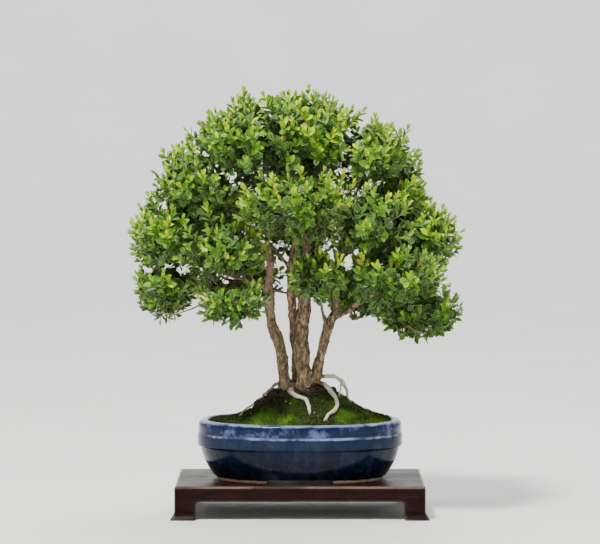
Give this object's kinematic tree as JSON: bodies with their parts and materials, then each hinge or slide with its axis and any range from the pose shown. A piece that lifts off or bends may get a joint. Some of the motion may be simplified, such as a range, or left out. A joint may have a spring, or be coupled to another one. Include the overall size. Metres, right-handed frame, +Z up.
{
  "type": "boxwood bonsai",
  "caption": "Clump-style boxwood bonsai with small leaves in separate pads and exposed roots, in a blue glazed oval pot on a low lacquered display stand.",
  "frame": {"origin": "on the surface that the stand rests on, below the middle of the whole outline", "axes": "+Z up, -Y towards the front of the tree, +X to the right as seen from the front"},
  "size_m": [0.4468, 0.3511, 0.5686],
  "materials": {
    "lacquered_wood": "dark red-brown gloss lacquer",
    "glaze": "deep blue gloss glaze, paler where thin, bare clay on the feet",
    "plastic_mesh": "matt dark plastic",
    "soil": "dark moist bonsai soil",
    "moss": "short green moss",
    "bark": "grey-brown fissured bark, pale roots",
    "leaf": "waxy leaves, yellow-green at the tips and blue-green inside"
  },
  "bodies": {
    "root": {"stand_board": "lacquered_wood", "stand_apron_front": "lacquered_wood", "stand_apron_back": "lacquered_wood", "stand_apron_left": "lacquered_wood", "stand_apron_right": "lacquered_wood", "stand_leg_front_left": "lacquered_wood", "stand_leg_back_left": "lacquered_wood", "stand_leg_front_right": "lacquered_wood", "stand_leg_back_right": "lacquered_wood", "pot": "glaze", "drain_screen_left": "plastic_mesh", "drain_screen_right": "plastic_mesh", "soil": "soil", "moss": "moss", "trunks_and_roots": "bark", "foliage_crown_left": "leaf", "foliage_crown_top": "leaf", "foliage_crown_back": "leaf", "foliage_crown_right": "leaf", "foliage_upper_left": "leaf", "foliage_upper_right": "leaf", "foliage_left": "leaf", "foliage_low_left": "leaf", "foliage_hanging_left": "leaf", "foliage_inner_left": "leaf", "foliage_front": "leaf", "foliage_front_right": "leaf", "foliage_low_front": "leaf", "foliage_low_right": "leaf", "foliage_drooping_right": "leaf", "foliage_right": "leaf", "foliage_back_left": "leaf", "foliage_back": "leaf", "foliage_back_right": "leaf", "foliage_back_low_left": "leaf", "foliage_back_low_right": "leaf"}
  },
  "joints": []
}
